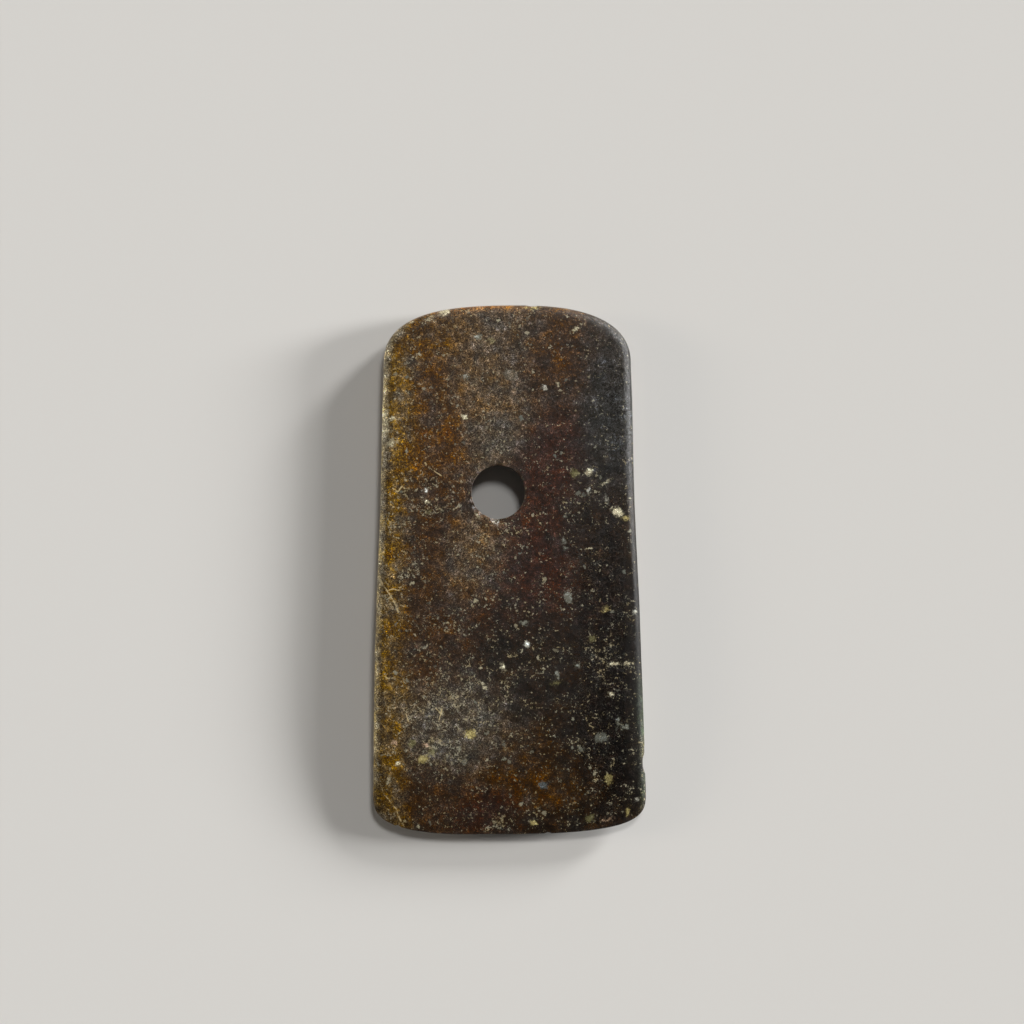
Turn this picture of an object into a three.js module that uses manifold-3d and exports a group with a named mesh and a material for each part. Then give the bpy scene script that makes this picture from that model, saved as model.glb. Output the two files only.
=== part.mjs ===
// A perforated axe head of polished jade, lying on its ground back.
// Millimetres. +Z is up, +Y points to the rounded butt and -Y to the cutting edge.
// The origin is the centre of the footprint, on the surface that the back rests on.

import * as THREE from 'three';
import * as BufferGeometryUtils from 'three/addons/utils/BufferGeometryUtils.js';
import Module from 'manifold-3d';

// ---- Outline, seen from above ----
const BUTT_SHOULDER_Y = 57.98; // the sides turn into the butt's curve here
const EDGE_SHOULDER_Y = -62.69; // and into the cutting edge here
const BUTT = {
	rise: 17.02, // height of the curve above its shoulders
	crestX: 3.4, // the highest point is right of the middle
	power: { left: 3.05, right: 2.42 },
	rootPower: 2.49,
};
const EDGE = {
	rise: 12.31,
	crestX: -12.9, // the lowest point is left of the middle
	power: { left: 2.1, right: 3.42 },
	rootPower: 3.5,
};
const HALF_WIDTH = {
	butt: { left: 35.6, right: 34.5 },
	edge: { left: 38.58, right: 38.77 },
};
const SIDE_SWELL = {
	left: { at: -25, reach: 45, by: 0.45 }, // a faint bulge
	right: { at: 20, reach: 30, by: -0.3 }, // a faint hollow
};

// ---- Thickness ----
const MID_PLANE_Z = 3.9; // height of the sides' crest and of the cutting edge
const FRONT_RISE = 4.3; // the front face above the mid plane, on the centre line
const FRONT_CROWN = 0.7; // the front face falls by this much towards the sides
const FRONT_CROWN_HALF_WIDTH = 38;
const BUTT_THINNING = 0.5; // the front face falls by this much towards the butt
const BUTT_THINNING_FROM_Y = 10;
const BUTT_TOP_Y = BUTT_SHOULDER_Y + BUTT.rise;
const EDGE_HALF_THICKNESS = 0.4; // left at the cutting edge
const FRONT_BEVEL_LENGTH = 42; // the front thins over this distance above the cutting edge
const BACK_BEVEL_LENGTH = 34;

// ---- Rounding between the faces and the outline ----
const MARGIN = {
	left: 3.2,
	rightAtEdge: 1.8,
	rightAtButt: 3.8,
	edge: 1.5, // along the cutting edge
};
const RIGHT_MARGIN_WIDENS = { fromY: - 15, toY: 45 };
const EDGE_MARGIN_FULL_WITHIN = 0.8; // share of the cutting edge that has the narrow margin
const FRONT_MARGIN_FULLNESS = 0.5; // 1 is a quarter ellipse, less is steeper at the outline

// ---- Bore, drilled from the back and narrowing towards the front ----
const BORE = { x: -3.14, y: 22.1, frontRadius: 7.45, backRadius: 8.6, frontZ: 8, sides: 48 };
const BORE_OVERRUN = 2; // the cutter runs past both faces

// ---- Chips: flake scars as ellipsoids ----
const SIDE_CHIPS = [
	{ centre: [ 40.65, - 54.6, 4.6 ], halfAxes: [ 3.1, 4.2, 5.4 ] },
	{ centre: [ 41.1, - 50.9, 5.4 ], halfAxes: [ 3.2, 2.9, 4.0 ] },
];
const BORE_CHIPS = [
	// clock angle round the bore in degrees, and radius of the scar
	{ angle: 196, radius: 0.9 },
	{ angle: 214, radius: 1.3 },
	{ angle: 232, radius: 1.0 },
	{ angle: 263, radius: 1.4 },
	{ angle: 318, radius: 0.8 },
];
const BORE_CHIP_FLATTENING = 0.6;

// ---- Mesh density ----
const SIDE_STEPS = 20;
const CURVE_STEPS = 44;
const FRONT_MARGIN_STEPS = 5;
const BACK_MARGIN_STEPS = 4;
const FRONT_FIELD_STOPS = [0.14, 0.32, 0.54, 0.77, 1]; // from the margin to the centre line
const BACK_FIELD_STOPS = [0.3, 0.65, 1];
const CHIP_DETAIL = 2;
const WELD_TOLERANCE = 1e-4;

const { lerp, clamp, smoothstep, degToRad } = THREE.MathUtils;

// A smooth rise from 0 to 1 and back over the distance 2 * reach.
function swell( { at, reach, by }, y ) {

	const s = ( y - at ) / reach;
	return by * Math.max( 0, 1 - s * s ) ** 2;

}

// Half width of one side at a height y, without its sign.
function halfWidth( side, y ) {

	const t = ( y - EDGE_SHOULDER_Y ) / ( BUTT_SHOULDER_Y - EDGE_SHOULDER_Y );
	const straight = lerp( HALF_WIDTH.edge[ side ], HALF_WIDTH.butt[ side ], t );
	return straight + swell( SIDE_SWELL[ side ], y );

}

// How far an end curve stands out from its shoulders, from 0 to 1, at the share u of its half width.
function curveRise( curve, side, u ) {

	return ( 1 - Math.min( 1, u ) ** curve.power[ side ] ) ** ( 1 / curve.rootPower );

}

// Height of the cutting edge below a point x of the blade.
function cuttingEdgeY( x ) {

	const side = x < EDGE.crestX ? 'left' : 'right';
	const sign = side === 'left' ? - 1 : 1;
	const reach = halfWidth( side, EDGE_SHOULDER_Y ) - sign * EDGE.crestX;
	const u = clamp( sign * ( x - EDGE.crestX ) / reach, 0, 1 );
	return EDGE_SHOULDER_Y - EDGE.rise * curveRise( EDGE, side, u );

}

// The stations round the outline, anticlockwise from the right end of the cutting edge.
// Each has a function place( inset ) that gives the point at that distance inside the outline,
// the width of its margin, and the height at which it meets the centre line.
function outlineStations() {

	const stations = [];
	const rightMargin = ( y ) => lerp(
		MARGIN.rightAtEdge,
		MARGIN.rightAtButt,
		smoothstep( y, RIGHT_MARGIN_WIDENS.fromY, RIGHT_MARGIN_WIDENS.toY ),
	);

	function addSide( side, fromY, toY ) {

		const sign = side === 'left' ? - 1 : 1;
		for ( let i = 0; i < SIDE_STEPS; i ++ ) {

			const y = lerp( fromY, toY, i / SIDE_STEPS );
			stations.push( {
				place: ( inset ) => [ sign * ( halfWidth( side, y ) - inset ), y ],
				margin: side === 'left' ? MARGIN.left : rightMargin( y ),
				centreY: y,
			} );

		}

	}

	function addCurve( curve, shoulderY, outward, marginAt ) {

		for ( let i = 0; i < CURVE_STEPS; i ++ ) {

			// share runs from +1 at the right shoulder to -1 at the left one, or back
			const share = outward * Math.cos( Math.PI * i / CURVE_STEPS );
			const side = share < 0 ? 'left' : 'right';
			const sign = side === 'left' ? - 1 : 1;
			const reach = halfWidth( side, shoulderY ) - sign * curve.crestX;
			const u = Math.abs( share );
			const rise = curveRise( curve, side, u );
			stations.push( {
				place: ( inset ) => [
					curve.crestX + sign * ( reach - inset ) * u,
					shoulderY + outward * ( curve.rise - inset ) * rise,
				],
				margin: marginAt( share ),
				centreY: shoulderY,
			} );

		}

	}

	const buttMargin = ( share ) => lerp( MARGIN.left, MARGIN.rightAtButt, ( share + 1 ) / 2 );
	const edgeMargin = ( share ) => lerp(
		MARGIN.edge,
		share < 0 ? MARGIN.left : MARGIN.rightAtEdge,
		smoothstep( Math.abs( share ), EDGE_MARGIN_FULL_WITHIN, 1 ),
	);

	addSide( 'right', EDGE_SHOULDER_Y, BUTT_SHOULDER_Y );
	addCurve( BUTT, BUTT_SHOULDER_Y, 1, buttMargin );
	addSide( 'left', BUTT_SHOULDER_Y, EDGE_SHOULDER_Y );
	addCurve( EDGE, EDGE_SHOULDER_Y, - 1, edgeMargin );
	return stations;

}

// Share of the full half thickness that is left at a point, 1 above the bevel.
function bevel( x, y, length, thinnest ) {

	const t = clamp( ( y - cuttingEdgeY( x ) ) / length, 0, 1 );
	return 1 - ( 1 - thinnest ) * ( 1 - t ) ** 2;

}

// Height of the front face, away from its margin, above the mid plane.
function frontRise( x, y ) {

	const crown = FRONT_CROWN * ( x / FRONT_CROWN_HALF_WIDTH ) ** 2;
	const towardsButt = clamp( ( y - BUTT_THINNING_FROM_Y ) / ( BUTT_TOP_Y - BUTT_THINNING_FROM_Y ), 0, 1 );
	const full = FRONT_RISE - crown - BUTT_THINNING * towardsButt ** 2;
	return full * bevel( x, y, FRONT_BEVEL_LENGTH, EDGE_HALF_THICKNESS / FRONT_RISE );

}

// Depth of the back below the mid plane: the back is flat above its bevel.
function backDepth( x, y ) {

	return MID_PLANE_Z * bevel( x, y, BACK_BEVEL_LENGTH, EDGE_HALF_THICKNESS / MID_PLANE_Z );

}

// The blade without its bore: rings of points, from the outline to the centre line on each face.
function bladeGeometry() {

	const stations = outlineStations();
	const count = stations.length;
	const positions = [];
	const triangles = [];

	function addRing( pointOf ) {

		for ( const station of stations ) positions.push( ...pointOf( station ) );

	}

	function addFace( sign, heightAt, fullness, marginSteps, fieldStops ) {

		const firstRing = positions.length / 3 / count - 1;
		for ( let i = 1; i <= marginSteps; i ++ ) {

			// equal turns of a quarter ellipse, raised by the fullness, from the outline to the face
			const turn = Math.PI / 2 * i / marginSteps;
			addRing( ( { place, margin } ) => {

				const [ x, y ] = place( margin * ( 1 - Math.cos( turn ) ) );
				const share = Math.sin( turn ) ** fullness;
				return [ x, y, MID_PLANE_Z + sign * heightAt( x, y ) * share ];

			} );

		}

		for ( const stop of fieldStops ) {

			addRing( ( { place, margin, centreY } ) => {

				const [ marginX, marginY ] = place( margin );
				const x = lerp( marginX, 0, stop );
				const y = lerp( marginY, centreY, stop );
				return [ x, y, MID_PLANE_Z + sign * heightAt( x, y ) ];

			} );

		}

		joinRings( sign, firstRing, positions.length / 3 / count - 1 );

	}

	function joinRings( sign, firstRing, lastRing ) {

		for ( let ring = firstRing; ring < lastRing; ring ++ ) {

			// the back starts again from the outline, which is ring 0
			const outer = ( ring === firstRing ? 0 : ring ) * count;
			const inner = ( ring + 1 ) * count;
			for ( let i = 0; i < count; i ++ ) {

				const j = ( i + 1 ) % count;
				const quad = [ outer + i, outer + j, inner + j, inner + i ];
				if ( sign < 0 ) quad.reverse();
				triangles.push( quad[ 0 ], quad[ 1 ], quad[ 2 ], quad[ 0 ], quad[ 2 ], quad[ 3 ] );

			}

		}

	}

	addRing( ( { place } ) => [ ...place( 0 ), MID_PLANE_Z ] );
	addFace( 1, frontRise, FRONT_MARGIN_FULLNESS, FRONT_MARGIN_STEPS, FRONT_FIELD_STOPS );
	addFace( - 1, backDepth, 1, BACK_MARGIN_STEPS, BACK_FIELD_STOPS );

	const geometry = new THREE.BufferGeometry();
	geometry.setAttribute( 'position', new THREE.Float32BufferAttribute( positions, 3 ) );
	geometry.setIndex( triangles );
	return geometry;

}

// A closed mesh with shared vertices merged and collapsed triangles left out.
function welded( geometry ) {

	const bare = geometry.clone();
	bare.deleteAttribute( 'normal' );
	bare.deleteAttribute( 'uv' );
	const merged = BufferGeometryUtils.mergeVertices( bare, WELD_TOLERANCE );
	const kept = [];
	const index = merged.index.array;
	for ( let i = 0; i < index.length; i += 3 ) {

		const [ a, b, c ] = [ index[ i ], index[ i + 1 ], index[ i + 2 ] ];
		if ( a !== b && b !== c && c !== a ) kept.push( a, b, c );

	}

	merged.setIndex( kept );
	return merged;

}

function toSolid( wasm, geometry ) {

	const closed = welded( geometry );
	return new wasm.Manifold( new wasm.Mesh( {
		numProp: 3,
		vertProperties: new Float32Array( closed.attributes.position.array ),
		triVerts: new Uint32Array( closed.index.array ),
	} ) );

}

function toGeometry( solid ) {

	const { vertProperties, triVerts } = solid.getMesh();
	const geometry = new THREE.BufferGeometry();
	geometry.setAttribute( 'position', new THREE.BufferAttribute( vertProperties, 3 ) );
	geometry.setIndex( new THREE.BufferAttribute( triVerts, 1 ) );
	return geometry;

}

// A tapered drill core along Z, longer than the blade is thick.
function boreCutter() {

	const taper = ( BORE.frontRadius - BORE.backRadius ) / BORE.frontZ;
	const height = BORE.frontZ + 2 * BORE_OVERRUN;
	const cutter = new THREE.CylinderGeometry(
		BORE.frontRadius + taper * BORE_OVERRUN,
		BORE.backRadius - taper * BORE_OVERRUN,
		height,
		BORE.sides,
	);
	cutter.rotateX( Math.PI / 2 );
	cutter.translate( BORE.x, BORE.y, BORE.frontZ / 2 );
	return cutter;

}

function chipCutter( [ x, y, z ], [ a, b, c ] ) {

	const cutter = new THREE.IcosahedronGeometry( 1, CHIP_DETAIL );
	cutter.scale( a, b, c );
	cutter.translate( x, y, z );
	return cutter;

}

// A small flake scar on the front rim of the bore.
function boreChipCutter( { angle, radius } ) {

	const x = BORE.x + BORE.frontRadius * Math.cos( degToRad( angle ) );
	const y = BORE.y + BORE.frontRadius * Math.sin( degToRad( angle ) );
	const z = MID_PLANE_Z + frontRise( x, y );
	return chipCutter( [ x, y, z ], [ radius, radius, radius * BORE_CHIP_FLATTENING ] );

}

const wasm = await Module();
wasm.setup();

let blade = toSolid( wasm, bladeGeometry() );
const cutters = [
	boreCutter(),
	...SIDE_CHIPS.map( ( { centre, halfAxes } ) => chipCutter( centre, halfAxes ) ),
	...BORE_CHIPS.map( boreChipCutter ),
];
for ( const cutter of cutters ) blade = blade.subtract( toSolid( wasm, cutter ) );

// Set the footprint's centre on the origin.
const geometry = toGeometry( blade );
geometry.computeBoundingBox();
const centre = geometry.boundingBox.getCenter( new THREE.Vector3() );
geometry.translate( - centre.x, - centre.y, 0 );
geometry.computeVertexNormals();

const jade = new THREE.MeshStandardMaterial( { color: 0x4a3a26, roughness: 0.45, metalness: 0 } );
const axeHead = new THREE.Mesh( geometry, jade );
axeHead.name = 'axe_head';

const model = new THREE.Group();
model.add( axeHead );

export default model;
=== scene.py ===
"""A perforated jade axe head, lying face up on a plain pale floor under soft studio light.

The blade is built here as one fine mesh from the same driving sizes as the CAD solid: a margin of
rings round the outline, a triangulated field on each face, and the wall of the bore. Lengths in
this script are millimetres, with +Y towards the butt, until the mesh is written in metres.
"""

import math

import bpy
import numpy as np
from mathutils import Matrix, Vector
from mathutils.geometry import delaunay_2d_cdt


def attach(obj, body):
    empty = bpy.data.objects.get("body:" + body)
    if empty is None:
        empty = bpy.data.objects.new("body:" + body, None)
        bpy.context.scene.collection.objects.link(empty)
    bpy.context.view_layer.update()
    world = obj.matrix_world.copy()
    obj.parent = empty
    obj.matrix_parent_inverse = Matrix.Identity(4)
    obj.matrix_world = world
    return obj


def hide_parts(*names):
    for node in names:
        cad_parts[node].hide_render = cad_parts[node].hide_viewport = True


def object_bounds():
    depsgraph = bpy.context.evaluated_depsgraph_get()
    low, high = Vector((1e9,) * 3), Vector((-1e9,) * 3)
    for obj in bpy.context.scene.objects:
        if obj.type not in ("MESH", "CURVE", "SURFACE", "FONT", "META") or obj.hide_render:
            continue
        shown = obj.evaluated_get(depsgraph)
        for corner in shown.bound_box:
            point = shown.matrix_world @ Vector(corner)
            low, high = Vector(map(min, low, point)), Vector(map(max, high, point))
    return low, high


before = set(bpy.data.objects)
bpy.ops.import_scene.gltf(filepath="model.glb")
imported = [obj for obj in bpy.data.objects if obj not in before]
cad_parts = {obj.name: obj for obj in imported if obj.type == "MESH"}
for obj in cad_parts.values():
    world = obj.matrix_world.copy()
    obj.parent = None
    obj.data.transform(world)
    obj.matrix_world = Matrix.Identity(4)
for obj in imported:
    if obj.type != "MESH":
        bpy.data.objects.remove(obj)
CAD_LOW, CAD_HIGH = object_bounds()

MM = 0.001
NODE = "axe_head"

# ---- Outline, seen from above ----
BUTT_SHOULDER_Y = 57.98
EDGE_SHOULDER_Y = -62.69
BUTT = {"rise": 17.02, "crest_x": 3.4, "power": {"left": 3.05, "right": 2.42}, "root_power": 2.49}
EDGE = {"rise": 12.31, "crest_x": -12.9, "power": {"left": 2.1, "right": 3.42}, "root_power": 3.5}
HALF_WIDTH = {
    "butt": {"left": 35.6, "right": 34.5},
    "edge": {"left": 38.58, "right": 38.77},
}
SIDE_SWELL = {
    "left": {"at": -25, "reach": 45, "by": 0.45},
    "right": {"at": 20, "reach": 30, "by": -0.3},
}

# ---- Thickness ----
MID_PLANE_Z = 3.9
FRONT_RISE = 4.3
FRONT_CROWN = 0.7
FRONT_CROWN_HALF_WIDTH = 38
BUTT_THINNING = 0.5
BUTT_THINNING_FROM_Y = 10
BUTT_TOP_Y = BUTT_SHOULDER_Y + BUTT["rise"]
EDGE_HALF_THICKNESS = 0.4
FRONT_BEVEL_LENGTH = 42
BACK_BEVEL_LENGTH = 34

# ---- Rounding between the faces and the outline ----
MARGIN = {"left": 3.2, "right_at_edge": 1.8, "right_at_butt": 3.8, "edge": 1.5}
RIGHT_MARGIN_WIDENS = {"from_y": -15, "to_y": 45}
FRONT_MARGIN_FULLNESS = 0.5  # 1 is a quarter ellipse, less is steeper at the outline
EDGE_MARGIN_FULL_WITHIN = 0.8

# ---- Bore ----
BORE = {"x": -3.14, "y": 22.1, "front_radius": 7.45, "back_radius": 8.6}
BORE_LIP = 0.28  # rounding of its rims

# ---- Mesh density ----
OUTLINE_STEP = 0.55
FRONT_STEP = 0.5
BACK_STEP = 0.95
FRONT_MARGIN_STEPS = 13
FRONT_MARGIN_CROWDING = 1.4  # above 1 the steps are closer near the outline, where it is steepest
BACK_MARGIN_STEPS = 8
BORE_SIDES = 120
BORE_WALL_STEPS = 12
BORE_LIP_STEPS = 3
SIDE_SAMPLES = 400  # places tried along each side and each end curve, before they are spaced evenly
CURVE_SAMPLES = 1600
LATTICE_JITTER = 0.12  # shares of the lattice's step: how far its points stray,
CLEAR_OF_EXTRA = 0.5  # and how near they come to the extra corners
CLEAR_OF_RINGS = 0.55  # and to the rings
CHUNK = 4000  # points compared at a time

RNG = np.random.default_rng(7)


# ---------------------------------------------------------------- outline and thickness

def swell(spec, y):
    s = (y - spec["at"]) / spec["reach"]
    return spec["by"] * np.maximum(0, 1 - s * s) ** 2


def half_width(side, y):
    t = (y - EDGE_SHOULDER_Y) / (BUTT_SHOULDER_Y - EDGE_SHOULDER_Y)
    straight = HALF_WIDTH["edge"][side] * (1 - t) + HALF_WIDTH["butt"][side] * t
    return straight + swell(SIDE_SWELL[side], y)


def curve_rise(curve, side, u):
    return (1 - np.minimum(1, u) ** curve["power"][side]) ** (1 / curve["root_power"])


def smooth_step(t):
    t = np.clip(t, 0, 1)
    return t * t * (3 - 2 * t)


def cutting_edge_y(x):
    """Height of the cutting edge below a point x of the blade."""
    rise = np.zeros_like(x)
    for side, sign in (("left", -1), ("right", 1)):
        reach = half_width(side, EDGE_SHOULDER_Y) - sign * EDGE["crest_x"]
        u = np.clip(sign * (x - EDGE["crest_x"]) / reach, 0, 1)
        here = x < EDGE["crest_x"] if side == "left" else x >= EDGE["crest_x"]
        rise = np.where(here, curve_rise(EDGE, side, u), rise)
    return EDGE_SHOULDER_Y - EDGE["rise"] * rise


def bevel(x, y, length, thinnest):
    """Share of the full half thickness that is left, 1 above the bevel."""
    t = np.clip((y - cutting_edge_y(x)) / length, 0, 1)
    return 1 - (1 - thinnest) * (1 - t) ** 2


def front_rise(x, y):
    """Height of the front face above the mid plane."""
    crown = FRONT_CROWN * (x / FRONT_CROWN_HALF_WIDTH) ** 2
    to_butt = np.clip((y - BUTT_THINNING_FROM_Y) / (BUTT_TOP_Y - BUTT_THINNING_FROM_Y), 0, 1)
    full = FRONT_RISE - crown - BUTT_THINNING * to_butt ** 2
    return full * bevel(x, y, FRONT_BEVEL_LENGTH, EDGE_HALF_THICKNESS / FRONT_RISE)


def back_depth(x, y):
    """Depth of the flat ground back below the mid plane."""
    return MID_PLANE_Z * bevel(x, y, BACK_BEVEL_LENGTH, EDGE_HALF_THICKNESS / MID_PLANE_Z)


def outline_stations():
    """Stations spaced evenly round the outline, anticlockwise from the right end of the edge.

    Each is a point, the direction that it moves in as it is inset by 1 mm, and its margin's width.
    """
    points = []
    inward = []
    margins = []

    def right_margin(y):
        start, end = RIGHT_MARGIN_WIDENS["from_y"], RIGHT_MARGIN_WIDENS["to_y"]
        t = smooth_step((y - start) / (end - start))
        return MARGIN["right_at_edge"] * (1 - t) + MARGIN["right_at_butt"] * t

    def add_side(side, from_y, to_y, steps=SIDE_SAMPLES):
        sign = -1 if side == "left" else 1
        y = np.linspace(from_y, to_y, steps, endpoint=False)
        points.append(np.stack([sign * half_width(side, y), y], 1))
        inward.append(np.tile([-sign, 0.0], (steps, 1)))
        margins.append(np.full(steps, MARGIN["left"]) if side == "left" else right_margin(y))

    def add_curve(curve, shoulder_y, outward, margin_at, steps=CURVE_SAMPLES):
        share = outward * np.cos(math.pi * np.arange(steps) / steps)
        sign = np.where(share < 0, -1, 1)
        u = np.abs(share)
        reach = np.where(
            share < 0,
            half_width("left", shoulder_y) + curve["crest_x"],
            half_width("right", shoulder_y) - curve["crest_x"],
        )
        left, right = (curve_rise(curve, side, u) for side in ("left", "right"))
        rise = np.where(share < 0, left, right)
        y = shoulder_y + outward * curve["rise"] * rise
        points.append(np.stack([curve["crest_x"] + sign * reach * u, y], 1))
        inward.append(np.stack([-sign * u, -outward * rise], 1))
        margins.append(margin_at(share))

    def butt_margin(share):
        t = (share + 1) / 2
        return MARGIN["left"] * (1 - t) + MARGIN["right_at_butt"] * t

    def edge_margin(share):
        t = smooth_step((np.abs(share) - EDGE_MARGIN_FULL_WITHIN) / (1 - EDGE_MARGIN_FULL_WITHIN))
        ends = np.where(share < 0, MARGIN["left"], MARGIN["right_at_edge"])
        return MARGIN["edge"] * (1 - t) + ends * t

    add_side("right", EDGE_SHOULDER_Y, BUTT_SHOULDER_Y)
    add_curve(BUTT, BUTT_SHOULDER_Y, 1, butt_margin)
    add_side("left", BUTT_SHOULDER_Y, EDGE_SHOULDER_Y)
    add_curve(EDGE, EDGE_SHOULDER_Y, -1, edge_margin)

    table = np.column_stack([np.vstack(points), np.vstack(inward), np.concatenate(margins)])
    closed = np.vstack([table, table[:1]])
    run = np.concatenate([[0], np.cumsum(np.hypot(*np.diff(closed[:, :2], axis=0).T))])
    count = int(round(run[-1] / OUTLINE_STEP))
    stops = np.linspace(0, run[-1], count, endpoint=False)
    even = np.column_stack([np.interp(stops, run, column) for column in closed.T])
    return even[:, :2], even[:, 2:4], even[:, 4]


# ---------------------------------------------------------------- mesh of the blade

def hex_lattice(low, high, step):
    """Points of a triangular lattice over a rectangle, moved a little off their places."""
    rows = int((high[1] - low[1]) / (step * math.sqrt(3) / 2))
    columns = int((high[0] - low[0]) / step)
    row, column = np.mgrid[0:rows, 0:columns]
    x = low[0] + (column + (row % 2) / 2) * step
    y = low[1] + row * step * math.sqrt(3) / 2
    lattice = np.stack([x.ravel(), y.ravel()], 1)
    return lattice + RNG.uniform(-LATTICE_JITTER, LATTICE_JITTER, lattice.shape) * step


def nearest(points, others):
    """Distance from each point to the nearest of the others."""
    result = np.empty(len(points))
    for start in range(0, len(points), CHUNK):
        part = points[start:start + CHUNK]
        gaps = part[:, None, :] - others[None, :, :]
        result[start:start + CHUNK] = np.sqrt((gaps ** 2).sum(2)).min(1)
    return result


def inside(points, ring):
    """Whether each point lies inside a closed ring, by the even-odd rule."""
    a, b = ring, np.roll(ring, -1, axis=0)
    result = np.zeros(len(points), bool)
    for start in range(0, len(points), CHUNK):
        x, y = points[start:start + CHUNK].T[:, :, None]
        crosses = (a[:, 1] > y) != (b[:, 1] > y)
        with np.errstate(divide="ignore", invalid="ignore"):
            at = a[:, 0] + (y - a[:, 1]) * (b[:, 0] - a[:, 0]) / (b[:, 1] - a[:, 1])
        result[start:start + CHUNK] = (crosses & (x < at)).sum(1) % 2 == 1
    return result


def circle(x, y, radius, count):
    turn = 2 * math.pi * np.arange(count) / count
    return np.stack([x + radius * np.cos(turn), y + radius * np.sin(turn)], 1)


def fill_field(outer, hole, step, extra):
    """Triangles between an outer ring and the ring of a hole. Their corners come first."""
    lattice = hex_lattice(outer.min(0), outer.max(0), step)
    if len(extra):
        lattice = np.vstack([lattice[nearest(lattice, extra) > CLEAR_OF_EXTRA * step], extra])
    rings = np.vstack([outer, hole])
    lattice = lattice[nearest(lattice, rings) > CLEAR_OF_RINGS * step]
    lattice = lattice[inside(lattice, outer) & ~inside(lattice, hole)]
    points = np.vstack([rings, lattice])
    edges = []
    for first, count in ((0, len(outer)), (len(outer), len(hole))):
        edges += [(first + i, first + (i + 1) % count) for i in range(count)]
    made, _, faces, *_ = delaunay_2d_cdt([Vector(p) for p in points], edges, [], 0, 1e-7, False)
    if len(made) != len(points):
        raise RuntimeError("the triangulation merged or added a point")
    faces = np.array(faces)
    middle = points[faces].mean(1)
    faces = faces[inside(middle, outer) & ~inside(middle, hole)]
    a, b, c = points[faces].transpose(1, 0, 2)
    turned = np.cross(b - a, c - a) < 0
    faces[turned] = faces[turned][:, ::-1]
    return points, faces


class Shell:
    """Corners and faces of one closed surface, gathered part by part."""

    def __init__(self):
        self.corners = []
        self.count = 0
        self.faces = []

    def add(self, points):
        first = self.count
        self.corners.append(points)
        self.count += len(points)
        return np.arange(first, self.count)

    def join(self, outer, inner, turned=False):
        """A band of quads between two rings that run anticlockwise."""
        quads = np.stack([outer, np.roll(outer, -1), np.roll(inner, -1), inner], 1)
        self.faces += (quads[:, ::-1] if turned else quads).tolist()


def blade_shell(extra_front):
    """The blade with its bore as one closed shell, in millimetres."""
    shell = Shell()
    place, inward, margin = outline_stations()

    def margin_ring(turn, sign, height_at):
        xy = place + inward * (margin * (1 - math.cos(turn)))[:, None]
        fullness = FRONT_MARGIN_FULLNESS if sign > 0 else 1
        z = MID_PLANE_Z + sign * height_at(*xy.T) * math.sin(turn) ** fullness
        return np.column_stack([xy, z])

    def margin_bands(equator, steps, sign, height_at):
        last = equator
        for i in range(1, steps + 1):
            crowding = FRONT_MARGIN_CROWDING if sign > 0 else 1
            turn = math.pi / 2 * (i / steps) ** crowding
            corners = margin_ring(turn, sign, height_at)
            ring = shell.add(corners)
            shell.join(last, ring, turned=sign < 0)
            last = ring
        return last, corners[:, :2]

    def field(rim, rim_xy, hole_xy, step, sign, height_at, extra):
        points, faces = fill_field(rim_xy, hole_xy, step, extra)
        z = MID_PLANE_Z + sign * height_at(*points.T)
        added = shell.add(np.column_stack([points, z])[len(rim):])
        index = np.concatenate([rim, added])
        faces = index[faces]
        shell.faces.extend((faces[:, ::-1] if sign < 0 else faces).tolist())
        return added[:len(hole_xy)]

    def bore_circle(radius):
        return circle(BORE["x"], BORE["y"], radius, BORE_SIDES)

    equator = shell.add(np.column_stack([place, np.full(len(place), MID_PLANE_Z)]))
    front_rim, front_xy = margin_bands(equator, FRONT_MARGIN_STEPS, 1, front_rise)
    back_rim, back_xy = margin_bands(equator, BACK_MARGIN_STEPS, -1, back_depth)
    front_hole = field(front_rim, front_xy, bore_circle(BORE["front_radius"] + BORE_LIP),
                       FRONT_STEP, 1, front_rise, extra_front)
    back_hole = field(back_rim, back_xy, bore_circle(BORE["back_radius"] + BORE_LIP),
                      BACK_STEP, -1, back_depth, np.empty((0, 2)))

    # the lips are quarter rounds, with the tapered wall between them
    top = MID_PLANE_Z + front_rise(*bore_circle(BORE["front_radius"]).T)
    rings = []
    for i in range(1, BORE_LIP_STEPS + 1):
        turn = math.pi / 2 * i / BORE_LIP_STEPS
        radius = BORE["front_radius"] + BORE_LIP * (1 - math.sin(turn))
        rings.append((radius, top - BORE_LIP * (1 - math.cos(turn))))
    for i in range(1, BORE_WALL_STEPS):
        t = i / BORE_WALL_STEPS
        radius = BORE["front_radius"] * (1 - t) + BORE["back_radius"] * t
        rings.append((radius, (top - BORE_LIP) * (1 - t) + BORE_LIP * t))
    for i in range(BORE_LIP_STEPS):
        turn = math.pi / 2 * i / BORE_LIP_STEPS
        radius = BORE["back_radius"] + BORE_LIP * (1 - math.cos(turn))
        rings.append((radius, np.full(BORE_SIDES, BORE_LIP * (1 - math.sin(turn)))))
    last = front_hole
    for radius, z in rings:
        ring = shell.add(np.column_stack([bore_circle(radius), z]))
        shell.join(last, ring)
        last = ring
    shell.join(last, back_hole)
    return np.vstack(shell.corners), shell.faces


# ---------------------------------------------------------------- random fields

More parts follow.
